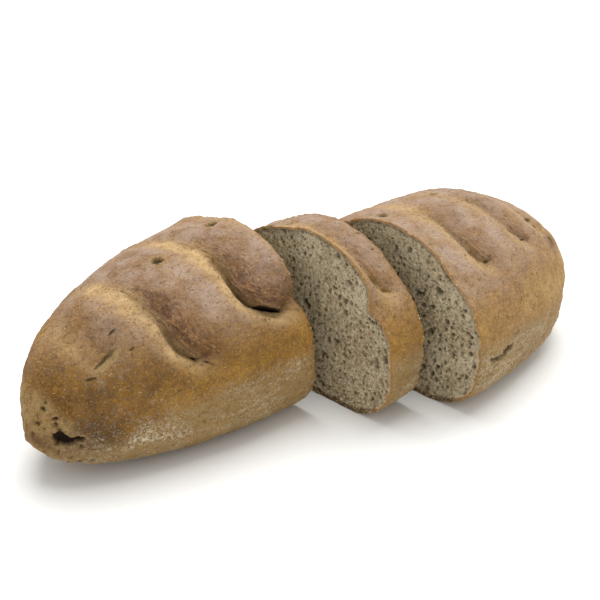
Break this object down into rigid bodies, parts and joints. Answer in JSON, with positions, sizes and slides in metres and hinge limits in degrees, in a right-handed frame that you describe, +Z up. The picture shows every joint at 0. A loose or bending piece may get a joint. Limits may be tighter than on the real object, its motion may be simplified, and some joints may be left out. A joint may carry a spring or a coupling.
{
  "type": "cut bread loaf",
  "caption": "Oval rye-wheat loaf with slashes across its crust, cut into a left half, a slice and a right half set out in their order.",
  "frame": {"origin": "on the board, under the middle of the bounding box of the three pieces", "axes": "+X along the loaf towards its blunter right end, +Y to the back of the loaf, +Z up; the front of the row faces -Y"},
  "size_m": [0.2964, 0.177, 0.0908],
  "materials": {
    "crust": "dry baked crust, golden brown with darker brown crests",
    "crumb": "grey-brown porous crumb inside a thin crust"
  },
  "bodies": {
    "root": {"left_half": "crust", "middle_slice": "crumb", "right_half": "crust"}
  },
  "joints": []
}
